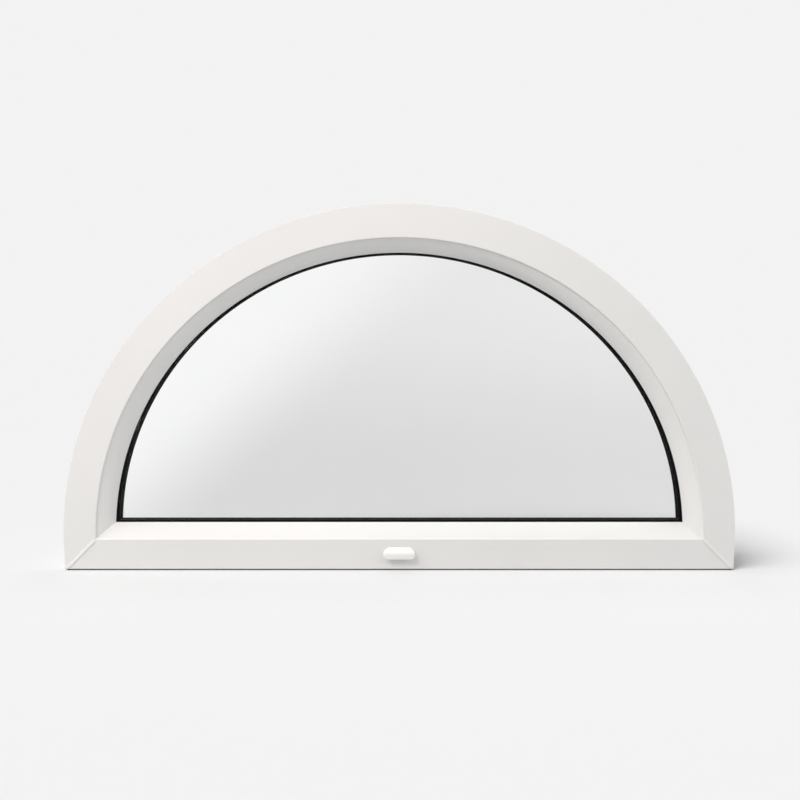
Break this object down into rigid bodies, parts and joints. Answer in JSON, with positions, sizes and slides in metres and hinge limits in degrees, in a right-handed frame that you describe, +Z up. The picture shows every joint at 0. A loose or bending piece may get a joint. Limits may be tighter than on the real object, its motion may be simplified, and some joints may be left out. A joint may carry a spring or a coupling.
{
  "type": "arched top window frame",
  "caption": "Half-round fixed window in white plastic: an arched frame mitred to a straight sill, a sealed glass unit in black gaskets and a hooded drain outlet below.",
  "frame": {"origin": "centre of the sill's flat underside, on the floor, midway between the outer face and the room face", "axes": "+X along the sill to the right as seen from outside, +Y from the outer face to the room face, +Z up to the crown of the arch"},
  "size_m": [0.9, 0.0785, 0.482],
  "materials": {
    "frame_pvc": "satin warm white extruded plastic",
    "cover_plastic": "moulded white plastic",
    "pane_glass": "clear float glass",
    "gasket_rubber": "matt black extruded rubber",
    "spacer_bar": "matt black warm-edge bar",
    "edge_sealant": "black cured sealant",
    "block_plastic": "moulded plastic block"
  },
  "bodies": {
    "root": {"arch_frame": "frame_pvc", "arch_gasket_inner": "gasket_rubber", "arch_gasket_outer": "gasket_rubber", "arch_glazing_bead": "frame_pvc", "arch_spacer": "spacer_bar", "edge_seal": "edge_sealant", "inner_pane": "pane_glass", "outer_pane": "pane_glass", "setting_block_left": "block_plastic", "setting_block_right": "block_plastic", "sill_frame": "frame_pvc", "sill_gasket_inner": "gasket_rubber", "sill_gasket_outer": "gasket_rubber", "sill_glazing_bead": "frame_pvc", "sill_spacer": "spacer_bar", "weep_cover": "cover_plastic"}
  },
  "joints": []
}
